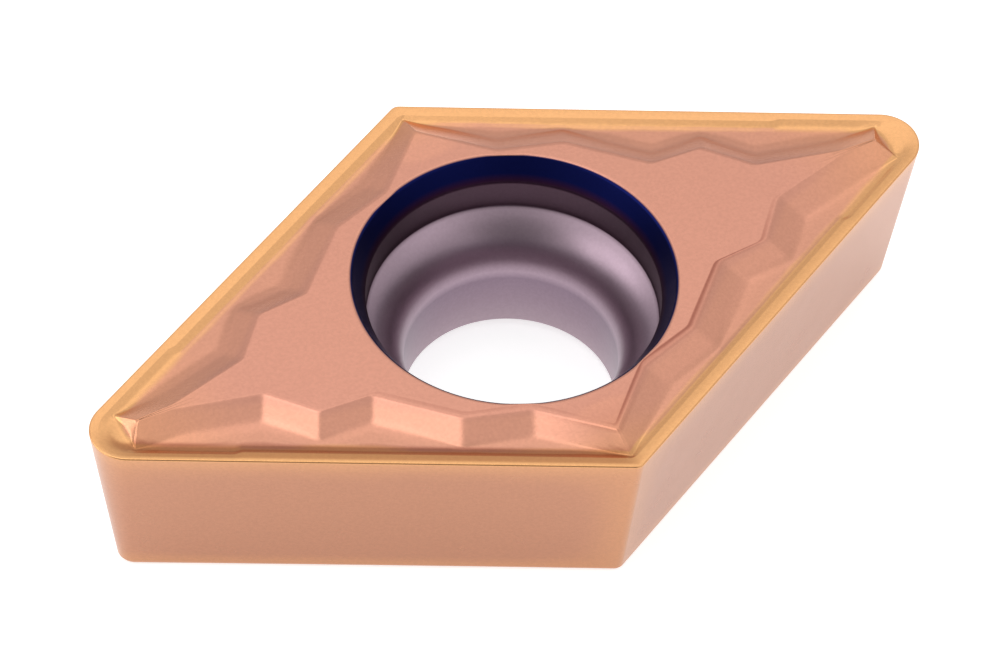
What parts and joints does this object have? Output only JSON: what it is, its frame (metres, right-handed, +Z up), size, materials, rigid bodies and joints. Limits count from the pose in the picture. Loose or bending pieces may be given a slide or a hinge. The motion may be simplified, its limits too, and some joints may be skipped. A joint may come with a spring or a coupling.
{
  "type": "carbide insert",
  "caption": "Diamond-shaped indexable turning insert in coated cemented carbide, with relieved flanks, a moulded chipbreaker on top and a countersunk screw hole.",
  "frame": {"origin": "centre of the flat bottom face, on the screw hole's axis", "axes": "+X along the long diagonal between the two acute noses, +Y along the short diagonal, +Z up out of the rake face, along the screw hole"},
  "size_m": [0.0188, 0.0106, 0.0041],
  "materials": {
    "coated_carbide": "copper-coloured satin PVD coating over cemented carbide, slightly golden on the cutting edges"
  },
  "bodies": {
    "root": {"insert_body": "coated_carbide"}
  },
  "joints": []
}
